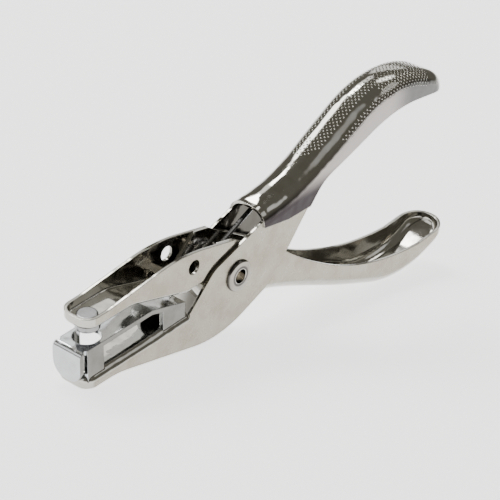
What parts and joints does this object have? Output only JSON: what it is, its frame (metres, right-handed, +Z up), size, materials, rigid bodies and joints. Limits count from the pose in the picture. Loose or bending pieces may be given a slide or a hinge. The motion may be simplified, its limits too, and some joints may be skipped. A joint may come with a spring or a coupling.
{
  "type": "single hole punch",
  "caption": "Plier-type paper punch: crossed stamped levers on a hollow rivet, a knurled upper handle, a folded die plate and a round cutter.",
  "frame": {"origin": "centre of the pivot rivet's bore, half way across the punch", "axes": "+X from the nose to the handles, +Y along the pivot axis away from the side the picture shows, +Z up, as the punch stands on its nose and its lower handle"},
  "size_m": [0.1407, 0.0122, 0.0594],
  "materials": {
    "nickel_outer": "nickel plate, bright on the knurled handle and satin on the cheeks",
    "nickel_inner": "nickel plate, satin outside and bright inside the channel",
    "die_steel": "satin zinc-bright sheet",
    "cutter_steel": "ground tool steel",
    "rivet_nickel": "rolled bright nickel",
    "spring_wire": "drawn wire"
  },
  "bodies": {
    "outer_body": {"outer_lever": "nickel_outer", "die_plate": "die_steel", "pivot_rivet": "rivet_nickel", "return_spring": "spring_wire"},
    "inner_body": {"inner_lever": "nickel_inner", "punch_pin": "cutter_steel"}
  },
  "joints": [
    {"name": "squeeze", "type": "hinge", "parent": "outer_body", "child": "inner_body", "pos_m": [0, 0, 0], "axis": [0, -1, 0], "range_deg": [0, 4.3], "stiffness_Nm_per_rad": 2, "springref_deg": -20.05, "deforming": ["return_spring"]}
  ]
}
